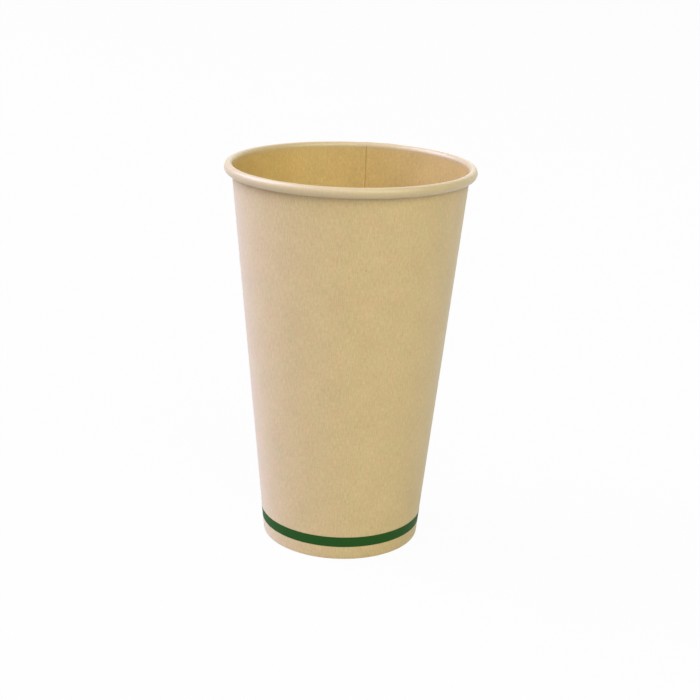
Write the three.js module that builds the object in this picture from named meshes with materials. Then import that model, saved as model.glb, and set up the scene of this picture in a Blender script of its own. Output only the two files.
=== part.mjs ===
// Single-wall paper cup, built from the pieces that a real one is made of: a fan-shaped sidewall blank
// lapped into a cone, rolled out at the top and turned in at the bottom, a bottom blank with a skirt, the
// barrier coating, the bonds that hold the sheets together and a printed stripe.
// Millimetres, +Z up. The origin is the centre of the ring that the cup stands on.
import * as THREE from 'three';

// Driving dimensions
const cupHeight = 141.3; // ground to the top of the curl
const rimDiameter = 90; // across the outside of the curl
const baseDiameter = 58.7; // across the wall's printed face, carried down to the ground
const wallBoard = 0.4; // thickness of the sidewall's board
const bottomBoard = 0.35; // thickness of the bottom's board
const curlWidth = 3; // across the rolled rim, coating included
const curlHeight = 3.65;
const curlTurn = 380; // degrees from the top of the wall to the free edge inside the roll
const curlTuckGap = 0.1; // between the free edge and the layer that it tucks under
const floorHeight = 8.4; // ground to the coated floor
const floorBend = 0.5; // inside radius where the bottom turns down into its skirt
const hemBelowBend = 1; // from the hem's free edge up to that bend
const foldRadius = 0.06; // inside radius of the fold that the cup stands on
const seamAzimuth = 82; // degrees from +X to the inner lap's cut edge
const seamLap = 8; // overlap of the side seam, halfway up the wall
const seamRise = 4; // length over which the outer lap climbs over the inner one, halfway up
const seamClip = 2; // height over which the seam thins to one layer at the fold and the curl
const seamButtGap = 0.1; // between cut edges that face each other, halfway up
const stripeBottom = 5.2; // ground to the lower edge of the stripe
const stripeHeight = 4;
const coatFilm = 0.03; // thickness of the barrier coating
const bondFilm = 0.05; // thickness of a bond
const bondMargin = 0.5; // from a bond's edge to the edge of the sheets that it joins
const inkFilm = 0.02; // thickness of the printed ink
const layerGap = 0.02; // clear gap between layers that touch on the real cup

// Fineness of the round shapes
const facets = 48; // flats round the cup
const curlSteps = 16; // flats round the curl
const bendSteps = 2; // flats round a fold or bend

const degrees = THREE.MathUtils.degToRad;

// Stacks of layers
const coatStack = layerGap + coatFilm;
const bondStack = bondFilm + 2 * layerGap;
const hemDepth = 2 * wallBoard + bottomBoard + 2 * bondStack; // printed wall to printed hem
const lapStep = wallBoard + bondStack; // from the inner lap out to the outer lap

// The wall's section: a straight line that leans out, seen with radius as x and height as y
const baseRadius = baseDiameter / 2;
const curlCentre = new THREE.Vector2((rimDiameter - curlWidth) / 2, cupHeight - curlHeight / 2);
const wallTopRadius = curlCentre.x - curlWidth / 2 + coatStack + wallBoard;
const lean = Math.atan2(wallTopRadius - baseRadius, curlCentre.y);
const outward = new THREE.Vector2(Math.cos(lean), -Math.sin(lean));
const middleRadius = (baseRadius + wallTopRadius) / 2;

// Point of the wall's section at a height, at a depth in from the printed face.
function inWall(height, depth) {
  const radius = baseRadius + height * Math.tan(lean) - depth / Math.cos(lean);
  return new THREE.Vector2(radius, height);
}

// Evenly spaced values from one end to the other, both included.
function spread(from, to, steps) {
  return Array.from({ length: steps + 1 }, (_, step) => from + ((to - from) * step) / steps);
}

function onCircle(centre, radius, angle) {
  return new THREE.Vector2(radius * Math.cos(angle), radius * Math.sin(angle)).add(centre);
}

// Point on the oval curl, at an inset from its outside. Past its underside the roll tucks in under
// its own first layer.
function onCurl(angle, inset) {
  const quarter = Math.PI / 2;
  const tucked = THREE.MathUtils.clamp((-quarter - angle) / quarter, 0, 1);
  const depth = inset + tucked * (wallBoard + curlTuckGap);
  return new THREE.Vector2(
    curlCentre.x + (curlWidth / 2 - depth) * Math.cos(angle),
    curlCentre.y + (curlHeight / 2 - depth) * Math.sin(angle),
  );
}

const curlAngles = spread(Math.PI, Math.PI - degrees(curlTurn), curlSteps);

// Angles round the cup. A turn is measured clockwise, seen from above, from the inner lap's cut edge.
// The flats of every piece share their corners, so the gaps between layers are even all round.
const facetAngle = (2 * Math.PI) / facets;
const lapAngle = seamLap / middleRadius;
const riseAngle = seamRise / middleRadius;
const buttAngle = seamButtGap / middleRadius;
const fullTurn = 2 * Math.PI;
const sheetEnd = fullTurn + lapAngle - buttAngle; // outer lap's cut edge
const riseEnd = fullTurn - buttAngle; // just short of the inner lap's cut edge
const riseStart = riseEnd - riseAngle;
const seamCorner = degrees(seamAzimuth) - lapAngle; // azimuth of the flats' first corner

// Share of the radius at which a flat lies, for a turn between two of its corners.
function onFlat(turn) {
  const fromMiddle = THREE.MathUtils.euclideanModulo(turn - lapAngle, facetAngle) - facetAngle / 2;
  return Math.cos(facetAngle / 2) / Math.cos(fromMiddle);
}

// Turns of the corners between two limits, with the limits and any further turns that are needed.
function turnsBetween(from, to, extra = []) {
  const firstCorner = Math.floor((from - lapAngle) / facetAngle) + 1;
  const lastCorner = Math.ceil((to - lapAngle) / facetAngle) - 1;
  const corners = [];
  for (let corner = firstCorner; corner <= lastCorner; corner += 1) {
    corners.push(lapAngle + corner * facetAngle);
  }
  return [from, ...corners, ...extra, to].sort((first, second) => first - second);
}

// Place in space of a point of the section at a turn. Where its row is in the seam, the outer lap is
// lifted over the inner one.
function placed(point, row, turn) {
  const climbed = THREE.MathUtils.clamp((turn - riseStart) / riseAngle, 0, 1);
  const lift = row.inSeam ? lapStep * climbed : 0;
  const radius = (point.x + outward.x * lift) * onFlat(turn);
  const azimuth = degrees(seamAzimuth) - turn;
  return [radius * Math.cos(azimuth), radius * Math.sin(azimuth), point.y + outward.y * lift];
}

// Closed solid of a wrapped sheet. Each row holds the section's point on the near (coated) and far
// (printed) face, and hasCell says which cells between rows and turns belong to the sheet.
function wrappedSheet(rows, turns, hasCell = () => true) {
  const corners = rows.flatMap((row) =>
    turns.flatMap((turn) => [...placed(row.far, row, turn), ...placed(row.near, row, turn)]),
  );
  const farCorner = (row, column) => 2 * (row * turns.length + column);
  const inSheet = (row, column) =>
    row >= 0 && row < rows.length - 1 && column >= 0 && column < turns.length - 1 && hasCell(row, column);
  const triangles = [];
  const addQuad = (first, second, third, fourth) => {
    triangles.push(first, second, third, first, third, fourth);
  };
  for (let row = 0; row < rows.length - 1; row += 1) {
    for (let column = 0; column < turns.length - 1; column += 1) {
      if (!inSheet(row, column)) continue;
      const start = farCorner(row, column);
      const above = farCorner(row + 1, column);
      const across = farCorner(row + 1, column + 1);
      const beside = farCorner(row, column + 1);
      addQuad(start, above, across, beside);
      addQuad(start + 1, beside + 1, across + 1, above + 1);
      const edges = [
        [start, above, row, column - 1],
        [above, across, row + 1, column],
        [across, beside, row, column + 1],
        [beside, start, row - 1, column],
      ];
      for (const [from, to, nextRow, nextColumn] of edges) {
        if (!inSheet(nextRow, nextColumn)) addQuad(to, from, from + 1, to + 1);
      }
    }
  }
  const geometry = new THREE.BufferGeometry();
  geometry.setAttribute('position', new THREE.Float32BufferAttribute(corners, 3));
  geometry.setIndex(triangles);
  geometry.computeVertexNormals();
  return geometry;
}

// Closed solid of revolution from a section listed anticlockwise, with its corners on the shared flats.
function turned(section) {
  const geometry = new THREE.LatheGeometry(section, facets, seamCorner + Math.PI / 2);
  geometry.rotateX(Math.PI / 2);
  return geometry;
}

// A section that runs between two depths of the wall and between two heights, closed on itself.
function wallBand(bottom, top, outerDepth, innerDepth) {
  return [
    inWall(bottom, outerDepth),
    inWall(top, outerDepth),
    inWall(top, innerDepth),
    inWall(bottom, innerDepth),
    inWall(bottom, outerDepth),
  ];
}

// The bottom's bend, and the heights that follow from it
const bendOuter = floorBend + bottomBoard;
const boardTop = floorHeight - coatStack;
const bendHeight = boardTop - bendOuter;
const skirtDepth = wallBoard + bondStack; // printed wall to the skirt's outer face
const bendCentre = inWall(bendHeight, skirtDepth + bendOuter);
const hemTop = bendHeight - hemBelowBend;
const skirtBottom = wallBoard + foldRadius + layerGap;

// The hem's fold, and the heights between which the side seam has two layers
const foldOuter = foldRadius + wallBoard;
const wallFold = inWall(foldOuter, foldOuter);
const hemFold = inWall(foldOuter, hemDepth - foldOuter);
const curlUnderside = cupHeight - curlHeight;
const lapBottom = foldOuter + seamClip;
const lapTop = curlUnderside - seamClip;

function material(color, roughness) {
  return new THREE.MeshStandardMaterial({ color, roughness, metalness: 0 });
}

function named(name, geometry, surface) {
  const mesh = new THREE.Mesh(geometry, surface);
  mesh.name = name;
  return mesh;
}

// Sidewall blank: hem, fold, wall and curl in one sheet. The inner lap is clipped to the wall's height,
// so that the fold and the curl hold one layer and meet edge to edge.
function sidewall() {
  const wallRow = (height, inSeam) => ({
    near: inWall(height, wallBoard),
    far: inWall(height, 0),
    inSeam,
  });
  const foldRow = (centre, angle) => ({
    near: onCircle(centre, foldRadius, angle),
    far: onCircle(centre, foldOuter, angle),
  });
  const hemRow = { near: inWall(hemTop, hemDepth - wallBoard), far: inWall(hemTop, hemDepth) };
  const hemFoldRows = spread(-Math.PI - lean, -Math.PI / 2, bendSteps).map((angle) => foldRow(hemFold, angle));
  const wallFoldRows = spread(-Math.PI / 2, -lean, bendSteps).map((angle) => foldRow(wallFold, angle));
  const lapRows = [wallRow(lapBottom, true), wallRow(lapTop, true)];
  const curlRows = curlAngles.map((angle) => ({
    near: onCurl(angle, coatStack),
    far: onCurl(angle, coatStack + wallBoard),
  }));
  const belowLap = [hemRow, ...hemFoldRows, ...wallFoldRows];
  const rows = [...belowLap, ...lapRows, wallRow(curlUnderside, false), ...curlRows];
  const innerLap = turnsBetween(0, lapAngle);
  const wrap = turnsBetween(lapAngle, sheetEnd, [riseStart, riseEnd]);
  const turns = [...innerLap, ...wrap.slice(1)];
  const lapColumns = innerLap.length - 1;
  const hasCell = (row, column) => column >= lapColumns || row === belowLap.length;
  return named('sidewall', wrappedSheet(rows, turns, hasCell), material(0xcdb588, 0.85));
}

// Bottom blank: a disc with its edge drawn down into a skirt between the wall and the hem.
function bottom() {
  const bendAngles = spread(Math.PI / 2, -lean, 2 * bendSteps);
  const underside = bendAngles.map((angle) => onCircle(bendCentre, floorBend, angle));
  const topside = bendAngles.map((angle) => onCircle(bendCentre, bendOuter, angle)).reverse();
  const section = [
    new THREE.Vector2(0, boardTop - bottomBoard),
    ...underside,
    inWall(skirtBottom, skirtDepth + bottomBoard),
    inWall(skirtBottom, skirtDepth),
    ...topside,
    new THREE.Vector2(0, boardTop),
  ];
  return named('bottom', turned(section), material(0xc9ae7d, 0.85));
}

// Coating on the sidewall's inner face, from the floor up and over the curl to its underside.
function wallCoating() {
  const coatedAngles = curlAngles.filter((angle) => angle > -Math.PI / 2);
  const section = [
    inWall(floorHeight, wallBoard + layerGap),
    ...coatedAngles.map((angle) => onCurl(angle, coatFilm)),
    ...coatedAngles.map((angle) => onCurl(angle, 0)).reverse(),
    inWall(floorHeight, wallBoard + coatStack),
    inWall(floorHeight, wallBoard + layerGap),
  ];
  return named('wall_coating', turned(section), material(0xc9a76a, 0.45));
}

// Coating on the bottom's upper face, from the middle to halfway round the bend.
function floorCoating() {
  const coatedAngles = spread(Math.PI / 2, Math.PI / 4, bendSteps);
  const section = [
    new THREE.Vector2(0, floorHeight - coatFilm),
    ...coatedAngles.map((angle) => onCircle(bendCentre, bendOuter + layerGap, angle)),
    ...coatedAngles.map((angle) => onCircle(bendCentre, bendOuter + coatStack, angle)).reverse(),
    new THREE.Vector2(0, floorHeight),
  ];
  return named('floor_coating', turned(section), material(0xc9a76a, 0.45));
}

// Bond between the two laps of the sidewall, clear of the lap's edges.
function sideSeamBond() {
  const marginAngle = bondMargin / middleRadius;
  const rows = [lapBottom + bondMargin, lapTop - bondMargin].map((height) => ({
    near: inWall(height, -layerGap),
    far: inWall(height, -layerGap - bondFilm),
  }));
  const turns = turnsBetween(marginAngle, lapAngle - marginAngle);
  return named('side_seam_bond', wrappedSheet(rows, turns), material(0xd8cba8, 0.5));
}

// Bond between the sidewall and the skirt's outer face.
function skirtBond() {
  const outerDepth = wallBoard + layerGap;
  const section = wallBand(skirtBottom, bendHeight, outerDepth, outerDepth + bondFilm);
  return named('skirt_bond', turned(section), material(0xd8cba8, 0.5));
}

// Bond between the skirt's inner face and the hem.
function hemBond() {
  const outerDepth = skirtDepth + bottomBoard + layerGap;
  const section = wallBand(skirtBottom, hemTop - bondMargin, outerDepth, outerDepth + bondFilm);
  return named('hem_bond', turned(section), material(0xd8cba8, 0.5));
}

// Printed stripe on the sidewall's outer face, from one cut edge round to the other.
function greenStripe() {
  const rows = [stripeBottom, stripeBottom + stripeHeight].map((height) => ({
    near: inWall(height, -layerGap),
    far: inWall(height, -layerGap - inkFilm),
    inSeam: true,
  }));
  const turns = turnsBetween(lapAngle, sheetEnd, [riseStart, riseEnd]);
  return named('green_stripe', wrappedSheet(rows, turns), material(0x305126, 0.6));
}

const cup = new THREE.Group();
cup.add(
  sidewall(),
  bottom(),
  wallCoating(),
  floorCoating(),
  sideSeamBond(),
  skirtBond(),
  hemBond(),
  greenStripe(),
);

export default cup;
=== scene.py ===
import math

import bpy
from mathutils import Euler, Matrix, Vector


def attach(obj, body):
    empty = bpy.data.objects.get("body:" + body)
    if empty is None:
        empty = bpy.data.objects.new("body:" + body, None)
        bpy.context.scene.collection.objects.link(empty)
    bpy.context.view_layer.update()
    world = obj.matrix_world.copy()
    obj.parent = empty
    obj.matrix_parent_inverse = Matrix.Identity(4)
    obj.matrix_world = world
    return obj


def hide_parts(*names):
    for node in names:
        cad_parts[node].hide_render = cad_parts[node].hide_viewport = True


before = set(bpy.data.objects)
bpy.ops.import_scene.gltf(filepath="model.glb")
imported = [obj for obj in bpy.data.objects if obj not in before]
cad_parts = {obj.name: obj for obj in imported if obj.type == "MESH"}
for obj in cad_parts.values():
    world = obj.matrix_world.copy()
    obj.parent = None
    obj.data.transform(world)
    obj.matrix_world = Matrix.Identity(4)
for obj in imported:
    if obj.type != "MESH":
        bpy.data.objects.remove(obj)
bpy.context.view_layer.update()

# Sidewall
# One fan-shaped blank of brown kraft board, wrapped into a cone and lapped on itself at the back.
# Its top edge is rolled outwards into the rim curl. Its foot is turned in and up into the hem that the
# cup stands on, which a knurled wheel has pressed against the bottom's skirt.
mm = 0.001
cup_height = 141.3 * mm
rim_radius = 45 * mm
base_radius = 29.35 * mm
wall_board = 0.4 * mm
bottom_board = 0.35 * mm
coat_film = 0.03 * mm
bond_film = 0.05 * mm
layer_gap = 0.02 * mm
coat_stack = layer_gap + coat_film
bond_stack = bond_film + 2 * layer_gap

curl_width = 3 * mm
curl_height = 3.65 * mm
curl_turn = math.radians(380)
curl_tuck_gap = 0.1 * mm
curl_centre = Vector((rim_radius - curl_width / 2, cup_height - curl_height / 2))
wall_top_radius = curl_centre.x - curl_width / 2 + coat_stack + wall_board
lean = math.atan2(wall_top_radius - base_radius, curl_centre.y)
apex_distance = base_radius / math.sin(lean)
middle_radius = (base_radius + wall_top_radius) / 2
slant_height = curl_centre.y / math.cos(lean)

hem_top = 6.5 * mm
hem_depth = 2 * wall_board + bottom_board + 2 * bond_stack
fold_radius = 0.06 * mm
fold_outer = fold_radius + wall_board
knurl_count = 72
knurl_depth = 0.09 * mm
knurl_bottom = 1 * mm
knurl_top = 5.8 * mm
knurl_fade = 0.8 * mm

slack_start = 15 * mm
slack_full = 60 * mm
wall_slackness = 0.05 * mm
wall_slack_length = 45 * mm

full_turn = 2 * math.pi
quarter = full_turn / 4
seam_azimuth = math.radians(82)
lap_width = 8 * mm
rise_length = 2 * mm
blend_length = 3 * mm
butt_gap = 0.1 * mm
lap_clearance = 2 * mm
lap_angle = lap_width / middle_radius
rise_angle = rise_length / middle_radius
rim_blend = blend_length / middle_radius
butt_angle = butt_gap / middle_radius
lap_step = wall_board + bond_stack
rim_step = 0.13 * mm
lap_bottom = fold_outer + lap_clearance
lap_fade = math.radians(30)
sheet_end = full_turn + lap_angle - butt_angle


def spread(low, high, steps):
    """Evenly spaced values from one end to the other, both included."""
    return [low + (high - low) * step / steps for step in range(steps + 1)]


def eased(value, low, high):
    """Share of the way from low to high, with a soft start and end."""
    share = min(max((value - low) / (high - low), 0), 1)
    return share * share * (3 - 2 * share)


def in_wall(height, depth):
    """Point of the wall's section at a depth in from its printed face, as radius and height."""
    return Vector((base_radius + height * math.tan(lean) - depth / math.cos(lean), height))


def on_circle(centre, radius, angle):
    return centre + radius * Vector((math.cos(angle), math.sin(angle)))


def section_point(place, facing, over=0, under=0, clipped=0, knurl=0, slack=0):
    """Point in the middle of a sheet: its place, the angle its outer face looks at and its forming.

    over is the share of the lap's step by which the outer lap is lifted, and under the share of the
    rim's step by which the roll stands proud over the lap. clipped is 1 where the inner lap is cut
    away, knurl where the hem is pressed and slack where the sheet is free to wander.
    """
    return {
        "place": place,
        "facing": (math.cos(facing), 0, math.sin(facing)),
        "seam": (over, under, clipped),
        "form": (knurl, slack, 0),
    }


def wall_point(height):
    return section_point(
        in_wall(height, wall_board / 2),
        -lean,
        over=eased(height, fold_outer, lap_bottom),
        clipped=height < lap_bottom,
        slack=eased(height, slack_start, slack_full),
    )


def curl_point(rolled):
    """Point of the curl after the sheet has rolled by an angle. Past its underside it tucks in."""
    angle = math.pi - rolled
    tucked = min(max((rolled - 3 * quarter) / quarter, 0), 1)
    inset = coat_stack + wall_board / 2 + tucked * (wall_board + curl_tuck_gap)
    across = curl_width / 2 - inset
    upright = curl_height / 2 - inset
    return section_point(
        curl_centre + Vector((across * math.cos(angle), upright * math.sin(angle))),
        math.atan2(-math.sin(angle) / upright, -math.cos(angle) / across),
        over=1 - eased(rolled, 0, lap_fade),
        under=eased(rolled, 0, quarter) - eased(rolled, 2 * quarter, 3 * quarter),
        clipped=rolled > 0,
        slack=1,
    )


def hem_point(height):
    pressed = eased(height, knurl_bottom, knurl_bottom + knurl_fade)
    pressed -= eased(height, knurl_top - knurl_fade, knurl_top)
    place = in_wall(height, hem_depth - wall_board / 2)
    return section_point(place, math.pi - lean, clipped=1, knurl=pressed)


def fold_point(centre, angle):
    return section_point(on_circle(centre, fold_radius + wall_board / 2, angle), angle, clipped=1)


def section_line(name, points, foot):
    """Mesh of a section as one line of edges. foot is where it starts, measured up along the wall."""
    line = bpy.data.meshes.new(name)
    places = [point["place"] for point in points]
    edges = [(start, start + 1) for start in range(len(points) - 1)]
    line.from_pydata([(place.x, 0, place.y) for place in places], edges, [])
    along = foot
    for point, before in zip(points, places[:1] + places):
        along += (point["place"] - before).length
        point["form"] = (*point["form"][:2], along)
    for kept in ("facing", "seam", "form"):
        attribute = line.attributes.new(kept, "FLOAT_VECTOR", "POINT")
        attribute.data.foreach_set("vector", [part for point in points for part in point[kept]])
    return line


class Value:
    """One socket of a node tree. Sums on it add Math nodes, and node() adds any other node."""

    def __init__(self, tree, socket=None):
        self.tree = tree
        self.socket = socket

    def node(self, kind, settings=None, sockets=None, output=0):
        added = self.tree.nodes.new(kind)
        for name, setting in (settings or {}).items():
            setattr(added, name, setting)
        for name, value in (sockets or {}).items():
            if isinstance(value, Value):
                self.tree.links.new(value.socket, added.inputs[name])
            else:
                added.inputs[name].default_value = value
        return Value(self.tree, added.outputs[output] if len(added.outputs) else None)

    def other(self, output):
        """Another output of the node that this value comes from."""
        return Value(self.tree, self.socket.node.outputs[output])

    def maths(self, operation, *values):
        return self.node("ShaderNodeMath", {"operation": operation}, dict(enumerate(values)))

    def between(self, low, high):
        """Share of the way from low to high, kept from 0 to 1, with a soft start and end."""
        limits = {"Value": self, "From Min": low, "From Max": high}
        return self.node("ShaderNodeMapRange", {"interpolation_type": "SMOOTHSTEP"}, limits)

    def __add__(self, more):
        return self.maths("ADD", self, more)

    def __sub__(self, less):
        return self.maths("SUBTRACT", self, less)

    def __rsub__(self, whole):
        return self.maths("SUBTRACT", whole, self)

    def __mul__(self, times):
        return self.maths("MULTIPLY", self, times)

    def __truediv__(self, share):
        return self.maths("DIVIDE", self, share)

    def __rtruediv__(self, whole):
        return self.maths("DIVIDE", whole, self)

    __radd__ = __add__
    __rmul__ = __mul__


# The tree that wraps a section round the cup: its inputs are the sizes of the wrap
wrap_tree = bpy.data.node_groups.new("wrapped_sheet", "GeometryNodeTree")
wrap_tree.is_modifier = True
wrap_sizes = {
    "First turn": 0.0,
    "Last turn": full_turn,
    "Columns": 240,
    "Crowding": 0.0,
    "Face offset": 0.0,
    "Seam azimuth": seam_azimuth,
    "Lap": lap_angle,
    "Clip turn": 0.0,
    "Rise": rise_angle,
    "Rim blend": rim_blend,
    "Butt": butt_angle,
    "Lap step": lap_step,
    "Rim step": rim_step,
    "Knurls": float(knurl_count),
    "Knurl depth": knurl_depth,
    "Slackness": wall_slackness,
    "Slack length": wall_slack_length,
    "Seed": 4.0,
    "Apex distance": apex_distance,
    "Fan share": math.sin(lean),
}
wrap_sockets = {}
for name, kind in (
    ("Section", "NodeSocketGeometry"),
    *((name, "NodeSocketInt" if name == "Columns" else "NodeSocketFloat") for name in wrap_sizes),
    ("Finish", "NodeSocketMaterial"),
):
    socket = wrap_tree.interface.new_socket(name, in_out="INPUT", socket_type=kind)
    wrap_sockets[name] = socket.identifier
wrap_tree.interface.new_socket("Sheet", in_out="OUTPUT", socket_type="NodeSocketGeometry")

wrap = Value(wrap_tree)
given = wrap.node("NodeGroupInput")
section = given.other("Section")
rows = wrap.node("GeometryNodeAttributeDomainSize", {"component": "MESH"}, {"Geometry": section})
flat_sizes = {"Size X": 1, "Size Y": 1, "Vertices X": given.other("Columns"), "Vertices Y": rows}
flat = wrap.node("GeometryNodeMeshGrid", sockets=flat_sizes)

# Each corner of the flat grid has a turn round the cup and a row of the section
corner = wrap.node("ShaderNodeSeparateXYZ", sockets={0: wrap.node("GeometryNodeInputPosition")})
column_share = corner + 0.5
bunched = wrap.maths("SINE", column_share * full_turn) * given.other("Crowding") / full_turn
first_turn = given.other("First turn")
turn = first_turn + (given.other("Last turn") - first_turn) * (column_share - bunched)
row = wrap.maths("ROUND", (corner.other("Y") + 0.5) * (rows - 1))


def on_row(attribute):
    """A vector of the section on each corner's row, taken apart."""
    picked = {"Geometry": section, "Value": attribute, "Index": row}
    sampled = wrap.node("GeometryNodeSampleIndex", {"data_type": "FLOAT_VECTOR"}, picked)
    return wrap.node("ShaderNodeSeparateXYZ", sockets={0: sampled})


def section_vector(name):
    stored = wrap.node("GeometryNodeInputNamedAttribute", {"data_type": "FLOAT_VECTOR"}, {"Name": name})
    return on_row(stored)


place = on_row(wrap.node("GeometryNodeInputPosition"))
facing = section_vector("facing")
seam = section_vector("seam")
form = section_vector("form")

# The outer lap climbs just before the inner lap's cut edge. The rolled rim stands proud over the lap.
lap = given.other("Lap")
rise = given.other("Rise")
climb_end = full_turn - given.other("Butt")
climbed = turn.between(climb_end - rise, climb_end)
blend = given.other("Rim blend")
doubled = 1 - turn.between(lap, lap + blend) + turn.between(climb_end - blend, climb_end)
lift = given.other("Lap step") * seam * climbed - given.other("Rim step") * seam.other("Y") * doubled
ridge = wrap.maths("COSINE", given.other("Knurls") * turn) * 0.5 + 0.5
pressed = form * given.other("Knurl depth") * ridge


def wrapped_place(radius, height):
    azimuth = given.other("Seam azimuth") - turn
    parts = (radius * wrap.maths("COSINE", azimuth), radius * wrap.maths("SINE", azimuth), height)
    return wrap.node("ShaderNodeCombineXYZ", sockets=dict(enumerate(parts)))


wandered = wrap.node(
    "ShaderNodeTexNoise",
    {"noise_dimensions": "4D"},
    {
        "Vector": wrapped_place(place, place.other("Z")),
        "W": given.other("Seed"),
        "Scale": 1 / given.other("Slack length"),
        "Detail": 1.0,
    },
)
wander = (wandered - 0.5) * 2 * given.other("Slackness") * form.other("Y")
offset = given.other("Face offset") + lift + pressed + wander

# Place on the flat fan-shaped blank, kept as a UV map so that the paper's grain follows the blank
apex = given.other("Apex distance")
slant = apex + form.other("Z")
fan = (turn - math.pi) * given.other("Fan share")
blank_parts = (slant * wrap.maths("SINE", fan), slant * wrap.maths("COSINE", fan) - apex)
blank = wrap.node("ShaderNodeCombineXYZ", sockets=dict(enumerate(blank_parts)))
on_blank = wrap.node(
    "GeometryNodeStoreNamedAttribute",
    {"data_type": "FLOAT2", "domain": "CORNER"},
    {"Geometry": flat, "Name": "blank", "Value": blank},
)
with_rows = wrap.node(
    "GeometryNodeStoreNamedAttribute",
    {"data_type": "FLOAT", "domain": "POINT"},
    {"Geometry": on_blank, "Name": "along", "Value": form.other("Z")},
)

# The inner lap is cut away at the fold and in the curl, then the grid is wrapped and closed
in_lap = wrap.maths("LESS_THAN", turn, given.other("Clip turn"))
cutting = {"Geometry": with_rows, "Selection": seam.other("Z") * in_lap}
trimmed = wrap.node("GeometryNodeDeleteGeometry", {"domain": "FACE"}, cutting)
bent_place = wrapped_place(place + facing * offset, place.other("Z") + facing.other("Z") * offset)
bent = wrap.node("GeometryNodeSetPosition", sockets={"Geometry": trimmed, "Position": bent_place})
closing = {"Geometry": bent, "Distance": 0.001 * mm}
closed = wrap.node("GeometryNodeMergeByDistance", sockets=closing)
smooth = wrap.node("GeometryNodeSetShadeSmooth", sockets={"Geometry": closed})
real = wrap.node("GeometryNodeRealizeInstances", sockets={"Geometry": smooth})
finishing = {"Geometry": real, "Material": given.other("Finish")}
finished = wrap.node("GeometryNodeSetMaterial", sockets=finishing)
wrap.node("NodeGroupOutput", sockets={"Sheet": finished})

# An edge with a sharper bend than this is shaded as an edge
crease_angle = math.radians(50)


def wrapped_piece(name, points, foot, thickness, finish, edge_finish, **sizes):
    """Sheet of a thickness about a section, wrapped round the cup and made a plain mesh."""
    piece = bpy.data.objects.new(name, section_line(name, points, foot))
    bpy.context.scene.collection.objects.link(piece)
    piece.data.materials.append(finish)
    piece.data.materials.append(edge_finish)
    wrapping = piece.modifiers.new("wrap", "NODES")
    wrapping.node_group = wrap_tree
    wanted = {size.replace("_", " ").capitalize(): value for size, value in sizes.items()}
    for size, value in {**wrap_sizes, **wanted, "Finish": finish}.items():
        wrapping[wrap_sockets[size]] = value
    board = piece.modifiers.new("board", "SOLIDIFY")
    board.thickness = thickness
    board.offset = 0
    board.use_even_offset = True
    board.material_offset_rim = 1
    evaluated = piece.evaluated_get(bpy.context.evaluated_depsgraph_get())
    mesh = bpy.data.meshes.new_from_object(evaluated)
    piece.modifiers.clear()
    piece.data = mesh
    mesh.materials.clear()
    mesh.materials.append(finish)
    mesh.materials.append(edge_finish)
    mesh.set_sharp_from_angle(angle=crease_angle)
    return piece


def new_finish(name, **constants):
    """Material with a Principled shader, and the shader, with its unchanging sockets set."""
    material = bpy.data.materials.new(name)
    material.use_nodes = True
    shader = material.node_tree.nodes["Principled BSDF"]
    for socket, value in constants.items():
        shader.inputs[socket.replace("_", " ")].default_value = value
    return material, shader


def paint(shader, socket, value):
    value.tree.links.new(value.socket, shader.inputs[socket])


def tinted(colour, warmth=1.0, greenness=1.0):
    """Written colour with its red and its green scaled, as a shader socket takes it."""
    red, green, blue = colour
    return (red * warmth, green * greenness, blue, 1)


def mixed(share, first, second):
    """Colour between two, which are sockets or written colours.

    The Mix node numbers its colour sockets: 0 is the share, 6 and 7 the colours and 2 the result.
    """
    return share.node("ShaderNodeMix", {"data_type": "RGBA"}, {0: share, 6: first, 7: second}, 2)


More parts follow.
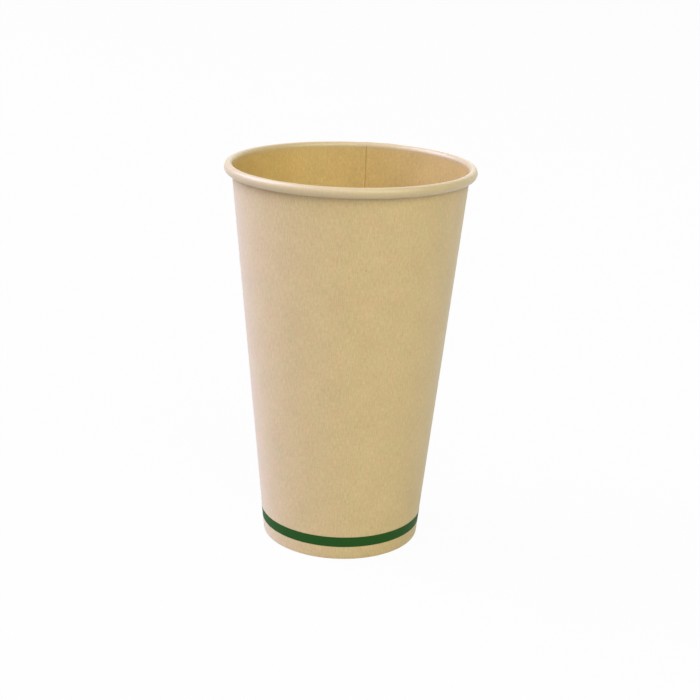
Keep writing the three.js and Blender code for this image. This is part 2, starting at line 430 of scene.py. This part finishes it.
def kraft_finish(
    name, colour, roughness, relief, on_blank=True, contrast=1, rim_and_sheen_colour=None, **constants
):
    """Kraft board: cloudy, streaked along its grain, with loose fibres and a few specks of bark.

    contrast is how strongly the grain shows. A rim colour is for the rolled rim, where the grain is
    fainter and the film is glossier. It is paler and less saturated than the board: a painted sheen.
    """
    material, shader = new_finish(name, **constants)
    paper = Value(material.node_tree)
    if on_blank:
        place = paper.node("ShaderNodeUVMap", {"uv_map": "blank"})
    else:
        place = paper.node("ShaderNodeTexCoord", output="Object")
    place = paper.node("ShaderNodeVectorMath", {"operation": "SCALE"}, {0: place, "Scale": 1 / mm})

    def grain(width, length, detail=2.0):
        """Noise about 0, with grains of a width and a length along the grain, in millimetres."""
        stretched = {0: place, 1: (1 / width, 1 / length, 1 / width)}
        drawn = paper.node("ShaderNodeVectorMath", {"operation": "MULTIPLY"}, stretched)
        noise = {"Vector": drawn, "Scale": 1, "Detail": detail}
        return paper.node("ShaderNodeTexNoise", sockets=noise) - 0.5

    def strewn(width, length, share, largest):
        """Scattered marks, one in a share of cells of a width and a length, each a part of its cell."""
        cells = {0: place, 1: (1 / width, 1 / length, 1 / width)}
        spread_out = paper.node("ShaderNodeVectorMath", {"operation": "MULTIPLY"}, cells)
        cell = paper.node("ShaderNodeTexVoronoi", sockets={"Vector": spread_out, "Scale": 1})
        drawn_lots = paper.node("ShaderNodeSeparateColor", sockets={0: cell.other("Color")})
        size = drawn_lots.other("Green") * largest * 0.7 + largest * 0.3
        chosen = paper.maths("LESS_THAN", drawn_lots, share)
        return (1 - cell.between(size * 0.6, size)) * chosen

    clouds = grain(width=9, length=12)
    mottle = grain(width=0.8, length=1)
    streaks = grain(width=0.32, length=2.8, detail=3)
    specks = strewn(width=6, length=9, share=0.3, largest=0.06)
    loose = strewn(width=0.3, length=7, share=0.05, largest=0.3)
    # Each layer is scaled by how strongly it shows
    shade = (clouds * 0.15 + mottle * 0.27 + streaks * 0.44 + loose * 0.1) * contrast
    hue = grain(width=5, length=7, detail=0).between(-0.2, 0.2)
    drift = 0.01
    redder = tinted(colour, 1 + drift, 1 - drift)
    greener = tinted(colour, 1 - drift, 1 + drift)
    board = mixed(hue, redder, greener)
    if rim_and_sheen_colour:
        along = paper.node("ShaderNodeAttribute", {"attribute_name": "along"}, output="Fac")
        rolled = along.between(slant_height - 1.5 * mm, slant_height + 1 * mm)
        # The rolled rim takes a paler, less saturated colour than the board: a painted sheen
        board = mixed(rolled, board, tinted(rim_and_sheen_colour))
        lost_grain = 0.65
        shade = shade * (1 - rolled * lost_grain)
        rim_coat = 0.65
        inside_coat = constants["Coat_Weight"]
        paint(shader, "Coat Weight", rolled * (rim_coat - inside_coat) + inside_coat)
    tone = (shade + 1) * (1 - specks * 0.5)
    multiplied = {"data_type": "RGBA", "blend_type": "MULTIPLY"}
    grained = paper.node("ShaderNodeMix", multiplied, {0: 1.0, 6: board, 7: tone}, 2)
    paint(shader, "Base Color", grained)

    paint(shader, "Roughness", streaks * 0.2 + mottle * 0.1 + roughness)
    height = mottle * 0.5 + streaks + loose * 0.3
    fibre_height = 0.04 * mm
    bump = {"Height": height, "Strength": relief, "Distance": fibre_height}
    paint(shader, "Normal", paper.node("ShaderNodeBump", sockets=bump))
    return material


kraft = (0.6, 0.45, 0.22)
raw_kraft = (0.5, 0.38, 0.2)
board_finish = kraft_finish(
    "kraft_board",
    kraft,
    roughness=0.62,
    relief=0.5,
    Specular_IOR_Level=0.15,
    Sheen_Weight=0.42,
    Sheen_Roughness=0.5,
)
cut_edge = kraft_finish("cut_board_edge", raw_kraft, roughness=0.85, relief=0.8)

hem_fold = in_wall(fold_outer, hem_depth - fold_outer)
wall_fold = in_wall(fold_outer, fold_outer)
foot_points = [
    *[hem_point(height) for height in spread(hem_top, fold_outer, steps=10)[:-1]],
    *[fold_point(hem_fold, angle) for angle in spread(-math.pi - lean, -quarter, steps=4)],
    *[fold_point(wall_fold, angle) for angle in spread(-quarter, -lean, steps=4)],
]


def wall_and_curl(bottom, rolled_end, curl_steps):
    """Section points from a height on the wall up to an angle of the curl."""
    wall = [wall_point(height) for height in spread(bottom, curl_centre.y, steps=16)[:-1]]
    curl = [curl_point(rolled) for rolled in spread(0, rolled_end, curl_steps)]
    return wall + curl


wall_points = wall_and_curl(lap_bottom, curl_turn, curl_steps=38)
wall_columns = 540
wall_crowding = 0.75
sidewall = wrapped_piece(
    "kraft_wall",
    [*foot_points, wall_point((fold_outer + lap_bottom) / 2), *wall_points],
    foot=-hem_top,
    thickness=wall_board,
    finish=board_finish,
    edge_finish=cut_edge,
    last_turn=sheet_end,
    clip_turn=lap_angle + butt_angle,
    columns=wall_columns,
    crowding=wall_crowding,
)
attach(sidewall, "root")
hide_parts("sidewall")

# Side seam bond
# The strip of barrier coating that was melted between the two laps of the sidewall and holds them
# together. It is closed in between them.
def bond_finish_of(name):
    material, shader = new_finish(name)
    melt = Value(material.node_tree)
    place = melt.node("ShaderNodeTexCoord", output="Object")
    flow = melt.node("ShaderNodeTexNoise", sockets={"Vector": place, "Scale": 900.0, "Detail": 2.0})
    thick = (0.6, 0.5, 0.3)
    thin = (0.76, 0.7, 0.5)
    paint(shader, "Base Color", mixed(flow, tinted(thick), tinted(thin)))
    paint(shader, "Roughness", flow * 0.3 + 0.35)
    return material


bond_margin = 0.5 * mm
margin_angle = bond_margin / middle_radius
bond_finish = bond_finish_of("melted_bond")
below_curl = 2 * mm
bond_top = cup_height - curl_height - below_curl - bond_margin
bond_heights = spread(lap_bottom + bond_margin, bond_top, steps=12)
seam_bond = wrapped_piece(
    "side_seam_melt",
    [wall_point(height) for height in bond_heights],
    foot=lap_bottom,
    thickness=bond_film,
    finish=bond_finish,
    edge_finish=bond_finish,
    first_turn=margin_angle,
    last_turn=lap_angle - margin_angle,
    columns=16,
    face_offset=(wall_board + bond_stack) / 2,
)
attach(seam_bond, "root")
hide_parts("side_seam_bond")

# Wall coating
# The clear barrier film on the sidewall's inner face, which makes the inside and the rolled rim satin
# where the outside is matt. It follows the board over the curl. At the seam it was melted, so that it
# fills the corner at the inner lap's cut edge and leaves a shallow groove.
coated_kraft = (0.59, 0.415, 0.15)
# The rim's colour is the coated board made paler and less saturated: a painted sheen over the real coat
coated_rim_and_sheen = (0.535, 0.415, 0.215)
coat_finish = kraft_finish(
    "coated_kraft",
    coated_kraft,
    roughness=0.45,
    relief=0.2,
    contrast=1.2,
    rim_and_sheen_colour=coated_rim_and_sheen,
    Coat_Weight=0.45,
    Coat_Roughness=0.34,
)
floor_height = 8.4 * mm
film_turn = math.radians(285)
groove_width = 0.35 * mm
groove_depth = 0.26 * mm
film_gap = 0.05 * mm
film_butt = film_gap / middle_radius
wall_coat = wrapped_piece(
    "coated_inside",
    wall_and_curl(floor_height, film_turn, curl_steps=30),
    foot=floor_height,
    thickness=coat_film,
    finish=coat_finish,
    edge_finish=coat_finish,
    last_turn=full_turn - film_butt,
    columns=420,
    crowding=wall_crowding,
    rise=groove_width / middle_radius,
    butt=film_butt,
    lap_step=groove_depth,
    face_offset=-(wall_board + coat_film) / 2 - layer_gap,
)
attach(wall_coat, "root")
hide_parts("wall_coating")

# Green stripe
# A ring of matt green ink, printed on the flat blank just above its foot before the cup was formed, so
# it stops at the cut edge of the outer lap. The board's grain shows through it faintly.
stripe_bottom = 5.2 * mm
stripe_height = 4 * mm
ink_film = 0.02 * mm


def ink_finish_of(name, deep, thin):
    material, shader = new_finish(name, Specular_IOR_Level=0.09)
    ink = Value(material.node_tree)
    place = ink.node("ShaderNodeUVMap", {"uv_map": "blank"})
    place = ink.node("ShaderNodeVectorMath", {"operation": "SCALE"}, {0: place, "Scale": 1 / mm})
    streaks_across = 3.2
    streaks_up = 0.4
    stretched = {0: place, 1: (streaks_across, streaks_up, 1)}
    drawn = ink.node("ShaderNodeVectorMath", {"operation": "MULTIPLY"}, stretched)
    streaks = ink.node("ShaderNodeTexNoise", sockets={"Vector": drawn, "Scale": 1, "Detail": 3.0}) - 0.5
    pores = ink.node("ShaderNodeTexNoise", sockets={"Vector": place, "Scale": 2.2, "Detail": 2.0})
    bare = pores.between(0.6, 0.8) * 0.5 + streaks * 0.8 + 0.25
    along = ink.node("ShaderNodeAttribute", {"attribute_name": "along"}, output="Fac")
    half_height = stripe_height / 2
    from_middle = ink.maths("ABSOLUTE", along - stripe_bottom - half_height)
    squeezed = from_middle.between(half_height - 0.22 * mm, half_height - 0.06 * mm)
    lay = mixed(bare, tinted(deep), tinted(thin))
    paint(shader, "Base Color", mixed(squeezed * 0.3, lay, tinted(deep)))
    paint(shader, "Roughness", streaks * 0.3 + 0.55)
    lay_height = 0.03 * mm
    bump = {"Height": streaks, "Strength": 0.4, "Distance": lay_height}
    paint(shader, "Normal", ink.node("ShaderNodeBump", sockets=bump))
    return material


deep_green = (0.011, 0.07, 0.008)
thin_green = (0.028, 0.09, 0.02)
ink_finish = ink_finish_of("green_ink", deep_green, thin_green)
stripe_heights = spread(stripe_bottom, stripe_bottom + stripe_height, steps=4)
stripe = wrapped_piece(
    "printed_stripe",
    [wall_point(height) for height in stripe_heights],
    foot=stripe_bottom,
    thickness=ink_film,
    finish=ink_finish,
    edge_finish=ink_finish,
    first_turn=lap_angle,
    last_turn=sheet_end,
    columns=wall_columns,
    crowding=wall_crowding,
    face_offset=(wall_board + ink_film) / 2 + layer_gap,
)
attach(stripe, "root")
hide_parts("green_stripe")

# Bottom
# A round blank of slightly thinner kraft board, pressed so that its edge turns down into a skirt. It is
# set up inside the foot of the wall, with the skirt held between the wall and the hem.
floor_bend = 0.5 * mm
bend_outer = floor_bend + bottom_board
board_top = floor_height - coat_stack
bend_height = board_top - bend_outer
skirt_depth = wall_board + bond_stack
skirt_bottom = wall_board + fold_radius + layer_gap
bend_centre = in_wall(bend_height, skirt_depth + bend_outer)


def disc_point(radius):
    height = board_top - bottom_board / 2
    slack = 1 - eased(radius, 0.5 * bend_centre.x, bend_centre.x)
    return section_point(Vector((radius, height)), quarter, slack=slack)


def floor_points(bend_end):
    """Section points of the bottom from its middle to an angle of the bend."""
    disc = [disc_point(radius) for radius in spread(0, bend_centre.x, steps=12)[:-1]]
    middle = floor_bend + bottom_board / 2
    bend_angles = spread(quarter, bend_end, steps=6)
    bend = [section_point(on_circle(bend_centre, middle, angle), angle) for angle in bend_angles]
    return disc + bend


skirt_middle = skirt_depth + bottom_board / 2
skirt_heights = spread(bend_height, skirt_bottom, steps=4)[1:]
skirt = [section_point(in_wall(height, skirt_middle), -lean) for height in skirt_heights]
bottom_kraft = (0.58, 0.43, 0.22)
bottom_finish = kraft_finish("bottom_board", bottom_kraft, roughness=0.75, relief=0.5, on_blank=False)
floor_slackness = 0.2 * mm
floor_slack_length = 14 * mm
bottom = wrapped_piece(
    "recessed_bottom",
    floor_points(-lean) + skirt,
    foot=0,
    thickness=bottom_board,
    finish=bottom_finish,
    edge_finish=cut_edge,
    slackness=floor_slackness,
    slack_length=floor_slack_length,
)
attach(bottom, "root")
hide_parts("bottom")

# Floor coating
# The same clear barrier film on the bottom's upper face, put on the board before the blank was cut. It
# meets the wall's film in the corner.
floor_finish = kraft_finish(
    "coated_floor_kraft",
    coated_kraft,
    roughness=0.42,
    relief=0.25,
    on_blank=False,
    Coat_Weight=0.25,
    Coat_Roughness=0.3,
)
floor_coat = wrapped_piece(
    "coated_floor",
    floor_points(quarter / 2),
    foot=0,
    thickness=coat_film,
    finish=floor_finish,
    edge_finish=floor_finish,
    slackness=floor_slackness,
    slack_length=floor_slack_length,
    face_offset=(bottom_board + coat_film) / 2 + layer_gap,
)
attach(floor_coat, "root")
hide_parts("floor_coating")

# Skirt and hem bonds
# Two rings of barrier coating, melted on both sides of the skirt: one joins it to the wall, the other
# to the hem. They are closed in between the sheets.
for name, node, top, depth in (
    ("skirt_melt", "skirt_bond", bend_height, wall_board + bond_stack / 2),
    ("hem_melt", "hem_bond", hem_top - bond_margin, skirt_depth + bottom_board + bond_stack / 2),
):
    heights = spread(skirt_bottom, top, steps=4)
    ring_points = [section_point(in_wall(height, depth), -lean) for height in heights]
    ring = wrapped_piece(
        name, ring_points, foot=0, thickness=bond_film, finish=bond_finish, edge_finish=bond_finish
    )
    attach(ring, "root")
    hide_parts(node)

# Floor and light
# A wide white table in an even white room, lit by softboxes: warm lamps in front and at the right,
# cooler daylight at the left and a weak fill behind. The camera, and gloss, see the room as plain white.
white = (1, 1, 1, 1)


def seen_share(start):
    """1 for what the camera, gloss and clear pieces see, 0 for the light that falls on the cup."""
    rays = start.node("ShaderNodeLightPath")
    seen = start.maths("MAXIMUM", rays.other("Is Camera Ray"), rays.other("Is Glossy Ray"))
    return start.maths("MAXIMUM", seen, rays.other("Is Transmission Ray"))


table_reach = 12.0
table_mesh = bpy.data.meshes.new("table")
corners = [(x * table_reach, y * table_reach, 0) for x, y in ((-1, -1), (1, -1), (1, 1), (-1, 1))]
table_mesh.from_pydata(corners, [], [(0, 1, 2, 3)])
table = bpy.data.objects.new("table", table_mesh)
bpy.context.scene.collection.objects.link(table)
table_finish = bpy.data.materials.new("white_table")
table_finish.use_nodes = True
table_finish.node_tree.nodes.clear()
paper_white = Value(table_finish.node_tree)
seen = seen_share(paper_white)
table_grey = (0.6, 0.6, 0.6)
matt = paper_white.node("ShaderNodeBsdfDiffuse", sockets={"Color": tinted(table_grey)})
glow = paper_white.node("ShaderNodeEmission", sockets={"Color": white, "Strength": 1.0})
glow_share = 0.96
blended = paper_white.node("ShaderNodeMixShader", sockets={0: seen * glow_share, 1: matt, 2: glow})
paper_white.node("ShaderNodeOutputMaterial", sockets={"Surface": blended})
table_mesh.materials.append(table_finish)

room = bpy.data.worlds.new("white_room")
bpy.context.scene.world = room
room.use_nodes = True
room.node_tree.nodes.clear()
air = Value(room.node_tree)
room_light = 0.15
level = seen_share(air) * (1 - room_light) + room_light
sky = air.node("ShaderNodeBackground", sockets={"Color": white, "Strength": level})
air.node("ShaderNodeOutputWorld", sockets={"Surface": sky})

cup_middle = Vector((0, 0, cup_height / 2))


def add_softbox(name, place, size, power, colour=(1, 1, 1)):
    """Square lamp of a size in metres and a power in watts, turned towards the middle of the cup."""
    lamp = bpy.data.lights.new(name, "AREA")
    lamp.color = colour
    lamp.size = size
    lamp.energy = power
    holder = bpy.data.objects.new(name, lamp)
    holder.location = place
    holder.rotation_euler = (cup_middle - holder.location).to_track_quat("-Z", "Y").to_euler()
    bpy.context.scene.collection.objects.link(holder)


lamplight = (1, 1, 0.76)
daylight = (0.66, 0.66, 1)
add_softbox("front_softbox", (0.5, -2.75, 2.4), size=2.75, power=46, colour=lamplight)
add_softbox("right_softbox", (2.1, -2.4, 2), size=2.5, power=55, colour=lamplight)
add_softbox("left_front_softbox", (-1.5, -1.8, 3.1), size=3, power=54, colour=daylight)
add_softbox("left_softbox", (-2.5, 0.6, 2.2), size=2.7, power=163, colour=daylight)
add_softbox("back_softbox", (0.75, 2.9, 2), size=3, power=16)

# Camera
# In front of the cup and above it, as the photograph was taken, with a slight roll. Its place and lens
# come from fitting the cup's outline to the photograph.
photo_width = 700
focal_length_in_pixels = 1411.4
sensor_width = 36
camera_lens = bpy.data.cameras.new("camera")
camera_lens.sensor_width = sensor_width
camera_lens.lens = focal_length_in_pixels / photo_width * sensor_width
camera = bpy.data.objects.new("camera", camera_lens)
camera_distance = 0.49719
camera_height = 0.23518
camera.location = (0, -camera_distance, camera_height)
camera_yaw = 0.0035
camera_pitch = 0.3185
camera_roll = 0.0321
aimed = Euler((quarter - camera_pitch, 0, -camera_yaw)).to_matrix()
camera.rotation_euler = (aimed @ Matrix.Rotation(camera_roll, 3, "Z")).to_euler()
bpy.context.scene.collection.objects.link(camera)
bpy.context.scene.camera = camera
bpy.context.scene.view_settings.view_transform = "Standard"
